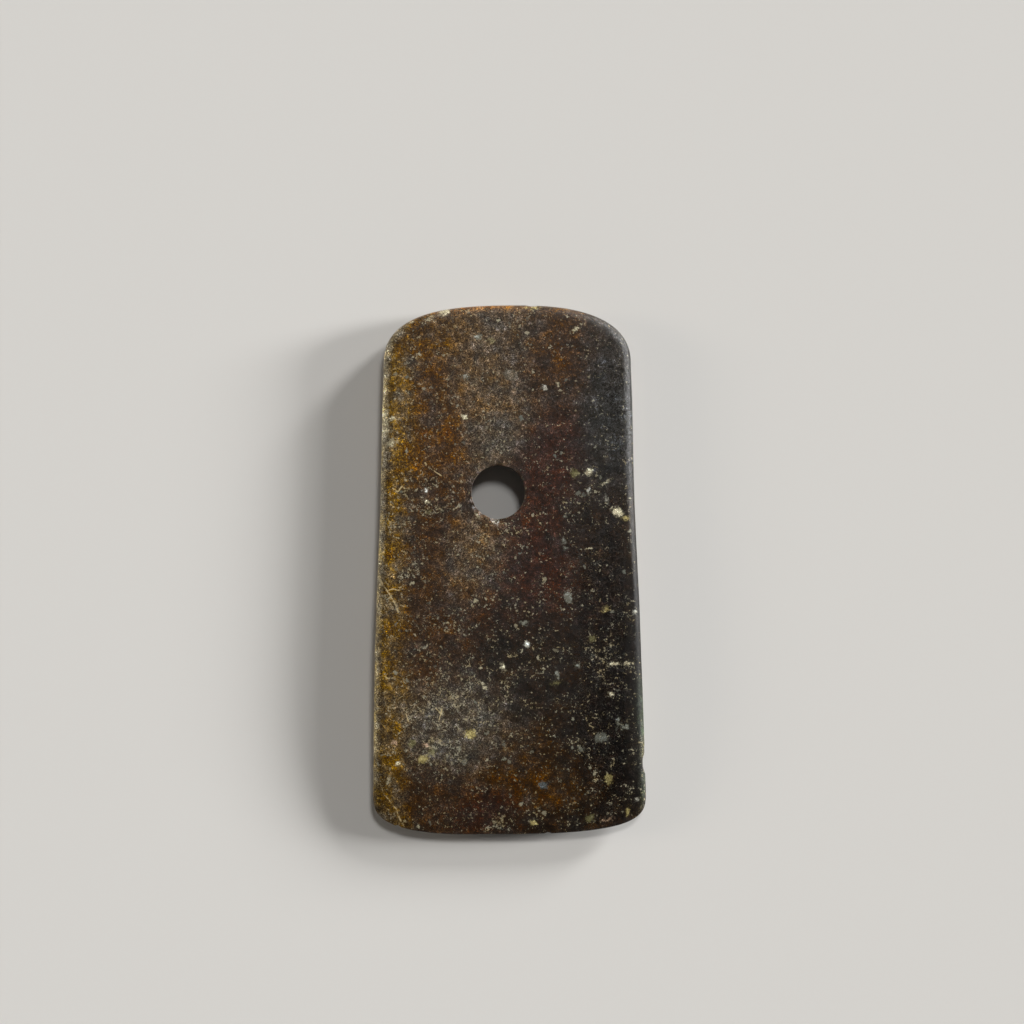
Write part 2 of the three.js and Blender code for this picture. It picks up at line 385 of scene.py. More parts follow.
def value_noise(points, cell, seed):
    """A smooth random field from -1 to 1 with features about one cell wide."""
    place = points / cell
    base = np.floor(place).astype(np.int64)
    share = smooth_step(place - base)
    total = np.zeros(len(points))
    for corner in np.ndindex(2, 2, 2):
        key = (base + corner) * np.array([73856093, 19349663, 83492791])
        key = (key[:, 0] ^ key[:, 1] ^ key[:, 2] ^ (seed * 2654435761)) & 0xFFFFFFFF
        key = ((key ^ (key >> 15)) * 2246822519) & 0xFFFFFFFF
        key = ((key ^ (key >> 13)) * 3266489917) & 0xFFFFFFFF
        value = (key >> 8) / float(1 << 23) - 1
        weight = np.where(np.array(corner) == 1, share, 1 - share).prod(1)
        total += value * weight
    return total


def layered_noise(points, cell, seed, layers=3):
    """Several octaves of value noise, still within about -1 to 1."""
    total = sum(value_noise(points, cell / 2 ** i, seed + i) / 2 ** i for i in range(layers))
    return total / (2 - 2 ** (1 - layers))


# ---------------------------------------------------------------- features of the stone, with painted highlights

def linear(code):
    """The linear colour of an sRGB code such as 'a08050'."""
    channels = np.array([int(code[i:i + 2], 16) for i in (0, 2, 4)]) / 255
    low = channels / 12.92
    high = ((channels + 0.055) / 1.055) ** 2.4
    return np.where(channels <= 0.04045, low, high)


# Tones of the broad areas.
TONES = {
    "mustard": "503a14",
    "ochre": "3c280e",
    "orange brown": "38220a",
    "golden brown": "2c1a06",
    "grey brown": "403222",
    "cloud": "383026",
    "warm brown": "2a1a0c",
    "red brown": "24120a",
    "grey green": "201e1a",
    "olive": "181c10",
    "near black": "140c06",
    "black": "0a0604",
}

# Broad areas of colour on the front: centre, half axes, name of the tone.
AREAS = [
    ((-25, 67), (10, 6), "ochre"),  # left corner of the butt
    ((-32, 50), (5, 20), "mustard"),  # strip along the left side, beside the butt
    ((-35, 8), (4, 26), "mustard"),  # in the middle
    ((-35, -34), (4, 28), "mustard"),  # and towards the blade
    ((-24, 50), (6, 14), "orange brown"),  # left of the middle of the butt
    ((-20, 38), (7, 9), "orange brown"),
    ((-5, 66), (12, 8), "grey brown"),  # butt
    ((-5, 50), (9, 10), "grey brown"),
    ((-6, 37), (7, 5), "cloud"),  # granular cloud above the bore
    ((14, 60), (10, 11), "warm brown"),
    # right of the butt: the stone's grey green, lightened as a painted sheen
    ((28, 46), (8, 20), "grey green"),  # right of the butt
    ((27, 10), (8, 18), "near black"),
    ((12, 33), (8, 10), "red brown"),
    ((-22, 14), (7, 14), "warm brown"),  # beside the bore
    ((-9, 5), (8, 8), "grey brown"),
    ((6, 2), (11, 13), "red brown"),  # middle
    ((-24, -18), (9, 12), "warm brown"),
    ((9, -24), (12, 12), "near black"),
    ((30, -38), (8, 26), "black"),  # strip along the right side
    ((-18, -45), (11, 9), "cloud"),  # granular cloud
    ((-22, -63), (9, 7), "warm brown"),
    ((-5, -67), (9, 5), "red brown"),
    ((7, -60), (12, 8), "golden brown"),  # by the thin edge
    ((19, -49), (7, 9), "near black"),
    ((30, -70), (10, 3), "near black"),  # right corner of the edge
    ((10, -71), (15, 2.5), "near black"),  # thin edge
    ((38.5, -6), (2.5, 20), "black"),  # right margin
    ((37.4, -40), (1.4, 8), "olive"),  # beside the right rim
]
AREA_SHARPNESS = 1.3
AREA_CORE = 0.05  # rounds the peak at an area's centre
AREA_WARP = 3.5  # how far the borders of the areas wander
AREA_WARP_CELL = 14
MEAN_TONE = "4a3b2b"
HIDDEN_TONE_PLAY = 0.35  # how much the plain tone of the walls and the back varies
HIDDEN_TONE_CELL = 18
HIDDEN_PLAIN_SHARE = 0.55  # share of the plain tone there
WALL_AND_BACK_SHADE = 0.6  # how bright the side walls and the back are beside the front


def broad_tone(points):
    """Soft mixture of the broad areas of colour."""
    wander = np.stack([layered_noise(points, AREA_WARP_CELL, seed) for seed in (11, 12)], 1) * AREA_WARP
    xy = points[:, :2] + wander
    weights = []
    for centre, half_axes, _ in AREAS:
        reach = ((xy - centre) / half_axes) ** 2
        weights.append(np.exp(-AREA_SHARPNESS * np.sqrt(reach.sum(1) + AREA_CORE)))
    weights = np.stack(weights, 1) ** 2
    colours = np.stack([linear(TONES[name]) for *_, name in AREAS])
    return weights @ colours / weights.sum(1, keepdims=True)


# Tints of the pale inclusions, and of the painted glints by the bore.
PALE = {
    "cream": "b6ac8c",
    "yellow": "9c8d58",
    "white": "b5b2a2",
    "olive": "6d6742",
    "grey": "767668",
    "blue": "4f5a5a",
    "pink": "a08468",
}

# Tints of the fine pale growths.
GROWTHS = {
    "warm salt": "a89568",
    "cool salt": "94968a",
    "light crumb": "aaa286",
    "dark crumb": "5c615a",
    "thread": "c4b690",
    "vein": "c4b184",
}
CRUMBS = ((1.3, 0.06, 0.34), (0.62, 0.04, 0.4))  # cells per mm, chance in a cell, size
SQUIGGLES = ((0.7, 0.36), (1.2, 0.37))  # cells per mm, and how readily they show

# How strongly each size of grain changes the brightness.
PATCH_CONTRAST = 6.0
CLOT_CONTRAST = 4.0
GRAIN_CONTRAST = 15.0

# Inclusions on the front, and two painted glints on the chipped lower rim of the bore: centre, half axes,
# turn in degrees, tint, strength.
INCLUSIONS_AND_PAINTED_GLINTS = [
    ((30.6, 16.5), (1.7, 1.1), -20, "cream", 0.95),
    ((32.8, 14.8), (1.0, 0.6), -10, "yellow", 0.7),
    ((22.4, 27.9), (1.0, 0.9), 30, "cream", 0.75),
    ((18.5, 27.3), (1.2, 1.0), 0, "olive", 0.6),
    ((9.9, 51.6), (0.65, 0.6), 0, "white", 0.9),
    ((13.9, 52.6), (0.3, 0.5), 0, "cream", 0.6),
    ((-8.8, 65.9), (1.1, 1.0), 0, "grey", 0.7),
    ((-5.0, 65.0), (0.9, 0.7), 0, "olive", 0.4),
    ((0.4, 55.1), (2.0, 1.7), 0, "grey", 0.2),
    ((18.8, 68.2), (0.9, 0.35), 35, "cream", 0.8),
    ((15.9, 15.5), (0.5, 0.4), 0, "grey", 0.6),
    ((-12.7, 43.4), (0.7, 0.6), -40, "cream", 0.8),
    ((-12.4, 54.8), (0.9, 0.8), 0, "grey", 0.6),
    ((-23.7, 22.5), (0.6, 0.5), 0, "white", 0.85),
    ((-23.4, 19.5), (0.8, 0.45), 10, "cream", 0.8),
    ((-22.8, 16.6), (0.6, 0.6), 0, "olive", 0.5),
    ((27.1, 24.8), (0.9, 0.3), 35, "cream", 0.7),
    ((27.4, 20.2), (0.3, 0.9), 20, "white", 0.65),
    ((22.3, 22.4), (0.25, 0.7), 0, "white", 0.6),
    ((16.7, -7.6), (1.1, 1.6), 20, "grey", 0.65),
    ((15.3, 8.4), (0.5, 0.9), 10, "grey", 0.45),
    ((16.0, 6.2), (0.5, 0.5), 0, "grey", 0.5),
    ((5.0, -20.7), (0.85, 0.75), 0, "white", 0.8),
    ((4.2, -14.8), (0.9, 0.55), -20, "grey", 0.75),
    ((-1.7, -27.5), (0.5, 0.9), 15, "cream", 0.75),
    ((27.3, -11.0), (0.9, 0.6), 25, "yellow", 0.75),
    ((35.4, -11.6), (0.4, 0.5), 0, "white", 0.8),
    ((29.5, -26.3), (0.95, 0.4), 5, "cream", 0.85),
    ((33.5, -26.3), (1.0, 0.35), 10, "cream", 0.85),
    ((19.1, -26.9), (0.9, 0.7), 0, "grey", 0.6),
    ((13.4, -29.2), (0.45, 0.9), 15, "grey", 0.6),
    ((13.2, -31.9), (1.2, 0.6), 10, "olive", 0.5),
    ((23.6, -19.2), (0.9, 0.9), 0, "olive", 0.45),
    ((-7.8, -31.6), (0.8, 0.4), -30, "cream", 0.6),
    ((-6.9, -33.1), (0.6, 0.7), 0, "cream", 0.7),
    ((-11.0, -46.2), (1.5, 1.3), 0, "yellow", 0.9),
    ((-24.4, -53.4), (1.5, 1.1), 35, "yellow", 0.7),
    ((-21.8, -51.3), (0.9, 0.8), 40, "olive", 0.6),
    ((-23.5, -49.3), (0.7, 0.45), 0, "pink", 0.85),
    ((-32.5, -48.5), (0.9, 0.9), 0, "pink", 0.7),
    ((-27.5, -49.0), (0.9, 1.2), -20, "olive", 0.55),
    ((-31.4, -54.7), (0.55, 0.6), 0, "cream", 0.7),
    ((-34.0, -59.5), (0.45, 0.9), -15, "cream", 0.6),
    ((6.9, -71.6), (0.8, 0.6), 0, "yellow", 0.7),
    ((27.6, -70.6), (1.0, 0.25), 5, "pink", 0.7),
    ((33.6, -68.3), (0.45, 0.95), -5, "yellow", 0.75),
    ((36.1, -64.9), (0.45, 0.35), 0, "white", 0.7),
    ((28.6, -34.9), (0.6, 0.5), 0, "cream", 0.75),
    ((30.7, -42.4), (0.25, 1.5), 0, "grey", 0.6),
    ((32.7, -44.2), (0.8, 0.6), 0, "grey", 0.6),
    ((25.9, -47.3), (1.9, 1.4), 0, "grey", 0.35),
    ((28.1, -59.0), (1.1, 1.5), 0, "yellow", 0.4),
    ((22.9, -70.3), (1.3, 1.0), 20, "olive", 0.5),
    ((9.7, -60.7), (1.3, 1.0), 0, "blue", 0.5),
    ((20.2, -50.3), (0.9, 0.6), -30, "grey", 0.6),
    ((-19.4, -40.0), (0.5, 0.9), 20, "cream", 0.6),
    ((-13.0, -54.1), (0.9, 0.8), 0, "grey", 0.5),
    ((-18.1, 73.2), (1.4, 0.8), 15, "cream", 0.8),
    ((-22.3, 71.2), (1.1, 0.5), 25, "cream", 0.75),
    ((-27.7, 70.3), (1.0, 0.35), 35, "cream", 0.7),
    ((6.6, 74.2), (1.2, 0.4), 0, "yellow", 0.6),
    ((-35.0, 41.5), (0.9, 3.0), 5, "cream", 0.6),
    # this and the next are painted glints: light caught by the chipped edges on the lower rim of the bore
    ((-3.5, 13.8), (0.4, 0.9), 0, "white", 0.8),
    ((-8.9, 15.4), (0.8, 0.35), -45, "cream", 0.55),
    ((-33.4, 36.0), (1.2, 0.8), -20, "cream", 0.65),
    ((-33.0, 43.0), (0.9, 0.6), 30, "cream", 0.6),
]

# Translucent colours of the thin rim, with the cream on the left partly a painted highlight: centre, half
# axes, colour, strength.
RIM_TINTS_AND_PAINTED_HIGHLIGHT = [
    # cream left rim: the crust's own colour, brightened as a painted highlight where the edge catches the
    # light
    ((-36.5, 45), (3, 18), "b8a880", 0.9),  # cream left rim, strongest beside the butt
    ((-32, 63), (4.5, 5), "a0906c", 0.85),
    ((-38.2, 5), (3, 26), "ac9c74", 0.8),
    ((-39, -45), (3, 30), "a89668", 0.75),
    ((-12, 75), (18, 3), "5e3c1c", 0.7),  # rusty top rim
    ((12, 75), (12, 3), "382612", 0.8),
    ((35, 50), (4, 16), "161412", 0.9),  # dark right rim beside the butt
    ((38, 2), (4, 22), "0a0806", 0.95),
    ((38.5, -40), (3, 9), "1c2115", 0.9),  # olive green right rim
    ((39, -63), (3, 6), "343a26", 0.8),
    ((39, -51), (2, 3), "5a5230", 0.6),
    ((30, -73), (9, 3), "3c2610", 0.8),  # orange brown below it
    ((2, -74), (16, 3), "20140a", 0.6),
]
RIM_WIDTH = 2.7
RIM_TINT_AND_HIGHLIGHT_FULL_ABOVE = 2.0  # height above the mid plane; weaker down the side wall
RIM_TINT_AND_HIGHLIGHT_ON_WALL = 0.15  # share of it that is left low on the side wall

# Where the polish is better or worse than usual: centre, half axes, change of the roughness.
ROUGHNESS = 0.29
POLISH = [
    ((30, 55), (12, 24), -0.03),
    ((36.5, 48), (4, 20), -0.13),
    ((30, -25), (9, 36), -0.09),
    ((38.5, -25), (4, 30), 0.5),
]

# Where pale grains and fibres crowd on the front: centre, half axes, how much more than usual.
CROWDS = [
    ((-18, -43), (10, 11), 1.3),
    ((-5, -71), (8, 2.5), 1.0),
    ((-8, -30), (8, 6), 0.7),
    ((26, -47), (7, 7), 0.5),
    ((26, -60), (6, 6), 0.4),
    ((30, -27), (6, 5), 0.6),
    ((21, -25), (6, 6), 0.5),
    ((-30, 5), (6, 22), 0.5),
    ((-27, 62), (6, 7), 0.5),
    ((-34, 40), (3, 8), 1.0),
    ((-20, 19), (6, 9), 0.6),
    ((-7, 12), (7, 5), 0.7),
    ((-6, 36), (6, 7), 0.4),
    ((14, 52), (22, 20), -0.55),
    ((30, 40), (9, 22), -0.4),
    ((29, 0), (8, 18), -0.3),
    ((30, -45), (10, 24), -0.45),
    ((37.5, -8), (2.5, 25), -0.5),
    ((2, -56), (14, 8), -0.4),
    ((-26, -66), (8, 5), -0.3),
]

# Fine pale veins and cracks on the front, each a line of points and a half width.
VEINS = [
    ([(-37.3, -1.7), (-34.6, -5.8), (-32.7, -8.5), (-31.4, -11.6)], 0.16),
    ([(-34.6, -5.8), (-32.9, -5.2), (-31.1, -5.8)], 0.13),
    ([(-33.0, 23.2), (-31.3, 22.3), (-30.3, 23.8), (-28.9, 22.5)], 0.14),
    ([(-23.7, 30.5), (-21.8, 28.4), (-19.1, 26.7)], 0.13),
    ([(-35.4, -29.7), (-34.5, -30.4), (-33.6, -30.6)], 0.15),
    ([(-20.8, -38.8), (-19.4, -40.6), (-18.7, -38.5)], 0.14),
    ([(-19.4, -40.6), (-19.9, -42.4)], 0.13),
    ([(-29.2, -40.5), (-28.5, -42.8)], 0.14),
    ([(-8.8, -37.0), (-7.7, -40.0)], 0.1),
    ([(-36.9, -59.9), (-35.4, -63.4), (-32.3, -67.3), (-31.0, -70.6), (-29.8, -72.9)], 0.13),
]
VEIN_WANDER = 0.4  # how far the veins stray from their lines
VEIN_WANDER_CELL = 1.6
FAR_FROM_FEATURES = 5.0  # stands for any distance from an inclusion or a vein that is beyond its reach

# Extra mesh corners round each inclusion and painted glint: share of its half axes, and number of corners.
INCLUSION_AND_GLINT_RINGS = ((0.55, 6), (1.1, 12))
VEIN_CORNER_GAP = 0.25
LEAST_CORNER_GAP = 0.2


def soft_spot(points, centre, half_axes):
    """1 at the centre of an ellipse, falling smoothly to about a third on its border."""
    return np.exp(-(((points[:, :2] - centre) / half_axes) ** 2).sum(1))


def ellipse_reach(points, centre, half_axes, turn):
    """Distance from an ellipse in millimetres, below 0 inside it."""
    angle = math.radians(turn)
    offset = points[:, :2] - centre
    along = offset @ (math.cos(angle), math.sin(angle)) / half_axes[0]
    across = offset @ (-math.sin(angle), math.cos(angle)) / half_axes[1]
    return (np.hypot(along, across) - 1) * min(half_axes)


def line_reach(points, line, half_width_of_line):
    """Distance from a broken line in millimetres, below 0 on it."""
    best = np.full(len(points), 1e3)
    for start, end in zip(np.array(line[:-1]), np.array(line[1:])):
        run = end - start
        share = np.clip(((points[:, :2] - start) @ run) / (run @ run), 0, 1)
        foot = start + share[:, None] * run
        best = np.minimum(best, np.hypot(*(points[:, :2] - foot).T))
    return best - half_width_of_line


def feature_points():
    """Extra mesh corners, so that small inclusions, the painted glints by the bore and veins are drawn
    sharply.
    """
    extra = []
    for centre, half_axes, turn, *_ in INCLUSIONS_AND_PAINTED_GLINTS:
        angle = math.radians(turn)
        axes = np.array([[math.cos(angle), math.sin(angle)], [-math.sin(angle), math.cos(angle)]])
        extra.append(np.array([centre]))
        for size, count in INCLUSION_AND_GLINT_RINGS:
            extra.append(circle(0, 0, size, count) * half_axes @ axes + centre)
    for line, _ in VEINS:
        for start, end in zip(np.array(line[:-1]), np.array(line[1:])):
            count = max(2, int(np.hypot(*(end - start)) / VEIN_CORNER_GAP))
            extra.append(start + np.linspace(0, 1, count)[:, None] * (end - start))
    points = np.vstack(extra)
    kept = []
    for point in points:
        if all(abs(point[0] - x) + abs(point[1] - y) > LEAST_CORNER_GAP for x, y in kept):
            kept.append(point)
    return np.array(kept)


# ---------------------------------------------------------------- relief

SWELL_HEIGHT = 0.10  # slow undulation of the hand-ground faces
SWELL_CELL = 22
RIPPLE_HEIGHT = 0.03
RIPPLE_CELL = 3.2
REST_FLAT_FROM_Z = 0.6  # the relief fades out round this height, so that the back stays flat

# Flake scars: ellipsoids that push the surface in, by centre and half axes.
SCARS = [
    ((40.65, -54.6, 4.6), (3.1, 4.2, 5.4)),
    ((41.1, -50.9, 5.4), (3.2, 2.9, 4.0)),
    ((38.3, -11.2, 6.2), (1.1, 1.5, 1.6)),
    ((38.9, -31.4, 6.0), (1.1, 1.2, 1.4)),
    ((-39.6, 40.5, 5.6), (2.4, 2.6, 2.2)),
    ((6.5, 76.2, 5.0), (2.0, 1.9, 2.6)),
    ((-18.5, 75.8, 5.6), (2.2, 2.0, 2.2)),
    ((-31.7, -73.6, 3.9), (0.9, 1.3, 9.0)),
    ((11.0, -76.0, 3.9), (1.3, 1.7, 9.0)),
]
BORE_SCARS = [(196, 0.9), (214, 1.3), (232, 1.0), (263, 1.4), (318, 0.8)]  # clock angle, radius
BORE_SCAR_FLATTENING = 0.6


def unit_normals(points, faces):
    """Normals of the corners, from the mesh that the faces make."""
    mesh = bpy.data.meshes.new("draft")
    mesh.from_pydata(points.tolist(), [], faces)
    mesh.update()
    normals = np.empty(len(points) * 3, np.float32)
    mesh.vertex_normals.foreach_get("vector", normals)
    bpy.data.meshes.remove(mesh)
    return normals.reshape(-1, 3).astype(float)


def add_relief(points, faces):
    """Slow undulation and fine ripple along the normals, with the resting face left flat."""
    height = SWELL_HEIGHT * layered_noise(points, SWELL_CELL, 31, 2)
    height += RIPPLE_HEIGHT * layered_noise(points, RIPPLE_CELL, 41, 2)
    share = smooth_step(points[:, 2] / REST_FLAT_FROM_Z - 0.5)
    return points + unit_normals(points, faces) * (height * share)[:, None]


def add_scars(points):
    """Moves what lies inside each scar out to the scar's surface."""
    scars = list(SCARS)
    for angle, radius in BORE_SCARS:
        x = BORE["x"] + BORE["front_radius"] * math.cos(math.radians(angle))
        y = BORE["y"] + BORE["front_radius"] * math.sin(math.radians(angle))
        z = MID_PLANE_Z + float(front_rise(np.array([x]), np.array([y]))[0])
        scars.append(((x, y, z), (radius, radius, radius * BORE_SCAR_FLATTENING)))
    points = points.copy()
    for centre, half_axes in scars:
        scaled = (points - centre) / half_axes
        reach = np.linalg.norm(scaled, axis=1)
        hit = reach < 1
        points[hit] = centre + scaled[hit] / reach[hit, None] * half_axes
    return points


# ---------------------------------------------------------------- painting of the corners

def least_of(reaches):
    """The smallest of several distance fields, and which field it is."""
    stacked = np.stack(reaches)
    which = stacked.argmin(0)
    return stacked[which, np.arange(stacked.shape[1])], which


def features_at(points):
    """What the material needs to know at each corner, as named columns."""
    front = smooth_step((points[:, 2] - MID_PLANE_Z) / 1.5 + 0.5)
    tone = broad_tone(points)
    play = 1 + HIDDEN_TONE_PLAY * layered_noise(points, HIDDEN_TONE_CELL, 51)
    plain = linear(MEAN_TONE) * play[:, None]
    hidden = (1 - HIDDEN_PLAIN_SHARE) * tone + HIDDEN_PLAIN_SHARE * plain
    tone = tone * front[:, None] + hidden * (1 - front[:, None])
    tone *= (WALL_AND_BACK_SHADE + (1 - WALL_AND_BACK_SHADE) * front)[:, None]

    # colours of the thin rim; on the left partly a painted highlight along the edge
    place, *_ = outline_stations()
    rim = smooth_step(1 - nearest(points[:, :2], place) / RIM_WIDTH)
    height_share = smooth_step((points[:, 2] - MID_PLANE_Z) / RIM_TINT_AND_HIGHLIGHT_FULL_ABOVE)
    rim *= RIM_TINT_AND_HIGHLIGHT_ON_WALL + (1 - RIM_TINT_AND_HIGHLIGHT_ON_WALL) * height_share
    for centre, half_axes, code, strength in RIM_TINTS_AND_PAINTED_HIGHLIGHT:
        share = strength * rim * soft_spot(points, centre, half_axes)
        tone = tone * (1 - share)[:, None] + linear(code) * share[:, None]

    reach, which = least_of([ellipse_reach(points, *spec[:3]) for spec in INCLUSIONS_AND_PAINTED_GLINTS])
    tints = np.stack([linear(PALE[spec[3]]) for spec in INCLUSIONS_AND_PAINTED_GLINTS])
    strengths = np.array([spec[4] for spec in INCLUSIONS_AND_PAINTED_GLINTS])
    reach = np.where(front > 0.5, reach, FAR_FROM_FEATURES)
    wander = np.stack([layered_noise(points, VEIN_WANDER_CELL, seed, 2) for seed in (61, 71)], 1)
    strayed = points[:, :2] + wander * VEIN_WANDER
    vein, _ = least_of([line_reach(strayed, *spec) for spec in VEINS])
    vein = np.where(front > 0.5, vein, FAR_FROM_FEATURES)
    crowding = np.ones(len(points))
    for centre, half_axes, amount in CROWDS:
        crowding += amount * soft_spot(points, centre, half_axes)
    roughness = np.full(len(points), ROUGHNESS)
    for centre, half_axes, change in POLISH:
        roughness += change * soft_spot(points, centre, half_axes)
    return {
        "tone": tone,
        "roughness": roughness,
        "crowding": crowding * (0.25 + 0.75 * front),
        "pale_tint": tints[which],
        "pale_reach": np.minimum(reach, FAR_FROM_FEATURES),
        "pale_strength": strengths[which],
        "vein_reach": np.minimum(vein, FAR_FROM_FEATURES),
    }


def store(mesh, name, values):
    """A named attribute on the corners: one number or one colour each."""
    if values.ndim == 1:
        mesh.attributes.new(name, "FLOAT", "POINT").data.foreach_set("value", values.astype(np.float32))
    else:
        colours = np.column_stack([values, np.ones(len(values))]).astype(np.float32)
        mesh.attributes.new(name, "FLOAT_COLOR", "POINT").data.foreach_set("color", colours.ravel())


def make_blade():
    points, faces = blade_shell(feature_points())
    features = features_at(points)
    points = add_scars(add_relief(points, faces))
    place, *_ = outline_stations()
    cad_centre = [(CAD_LOW[i] + CAD_HIGH[i]) / 2 / MM for i in range(2)]
    shift = np.array(cad_centre) - (place.min(0) + place.max(0)) / 2
    points[:, :2] += shift
    mesh = bpy.data.meshes.new("axe_head_fine")
    mesh.from_pydata((points * MM).tolist(), [], faces)
    mesh.update()
    for name, values in features.items():
        store(mesh, name, values)
    mesh.shade_smooth()
    blade = bpy.data.objects.new("axe_head_fine", mesh)
    bpy.context.scene.collection.objects.link(blade)
    return blade


# ---------------------------------------------------------------- material

class Graph:
    """Short calls that build a material's node tree."""

    def __init__(self, tree):
        self.tree = tree

    def node(self, kind, feeds=(), **settings):
        made = self.tree.nodes.new(kind)
        for name, value in settings.items():
            setattr(made, name, value)
        for name, value in dict(feeds).items():
            self.feed(made.inputs[name], value)
        return made

    def feed(self, socket, value):
        if isinstance(value, bpy.types.NodeSocket):
            self.tree.links.new(value, socket)
        else:
            socket.default_value = value

    def math(self, operation, a, b=0.0, c=0.0):
        made = self.node("ShaderNodeMath", operation=operation)
        for socket, value in zip(made.inputs, (a, b, c)):
            self.feed(socket, value)
        return made.outputs[0]

    def range(self, value, low, high, to_low=0.0, to_high=1.0, smooth=True):
        made = self.node("ShaderNodeMapRange", interpolation_type="SMOOTHSTEP" if smooth else "LINEAR")
        for name, amount in (("Value", value), ("From Min", low), ("From Max", high),
                             ("To Min", to_low), ("To Max", to_high)):
            self.feed(made.inputs[name], amount)
        return made.outputs["Result"]

    def mix(self, share, a, b, blend="MIX"):
        made = self.node("ShaderNodeMix", data_type="RGBA", blend_type=blend)
        self.feed(made.inputs[0], share)
        for socket, colour in ((made.inputs[6], a), (made.inputs[7], b)):
            if isinstance(colour, bpy.types.NodeSocket):
                self.feed(socket, colour)
            else:
                socket.default_value = (*colour, 1)
        return made.outputs[2]

    def vector(self, operation, a, b=(0, 0, 0), scale=1.0):
        made = self.node("ShaderNodeVectorMath", operation=operation)
        self.feed(made.inputs[0], a)
        self.feed(made.inputs[1], b)
        if operation == "SCALE":
            self.feed(made.inputs[3], scale)
        return made.outputs[0]

    def noise(self, vector, scale, detail=3.0, roughness=0.5, output=0):
        made = self.node("ShaderNodeTexNoise", {
            "Vector": vector, "Scale": scale, "Detail": detail, "Roughness": roughness})
        return made.outputs[output]

    def cells(self, vector, scale, feature="F1"):
        return self.node("ShaderNodeTexVoronoi", {"Vector": vector, "Scale": scale}, feature=feature)

    def attribute(self, name, output):
        return self.node("ShaderNodeAttribute", attribute_name=name).outputs[output]


def power_gain(graph, value, strength):
    """Turns a noise around 0.5 into a brightness gain around 1."""
    return graph.math("POWER", math.exp(strength), graph.math("SUBTRACT", value, 0.5))


def crumbs(graph, bent, crowding, scale, chance, size):
    """Scattered small pale crumbs, in some cells only, and a random number for each cell."""
    cells = graph.cells(bent, scale)
    chosen = graph.node("ShaderNodeSeparateColor", {"Color": cells.outputs["Color"]})
    likely = graph.math("LESS_THAN", chosen.outputs[0], graph.math("MULTIPLY", crowding, chance))
    near = graph.range(cells.outputs["Distance"], size, size * 0.7)
    strength = graph.range(chosen.outputs[1], 0.0, 1.0, 0.25, 1.0, smooth=False)
    return graph.math("MULTIPLY", graph.math("MULTIPLY", likely, near), strength), chosen.outputs[2]


def squiggles(graph, bent, mm, crowding, scale, share):
    """Short thin curved fibres: pieces of the borders between bent cells."""
    offset = graph.vector("ADD", bent, (scale * 31, 7, 13))
    border = graph.cells(offset, scale, "DISTANCE_TO_EDGE").outputs["Distance"]
    line = graph.range(border, 0.13 * scale, 0.05 * scale)
    patch = graph.noise(graph.vector("ADD", mm, (5, scale * 17, 29)), 1.0, 2, 0.6)
    gate = graph.math("ADD", patch, graph.math("MULTIPLY", graph.math("SUBTRACT", crowding, 1.0), 0.05))
    return graph.math("MULTIPLY", line, graph.range(gate, 1 - share, 1 - share + 0.06))


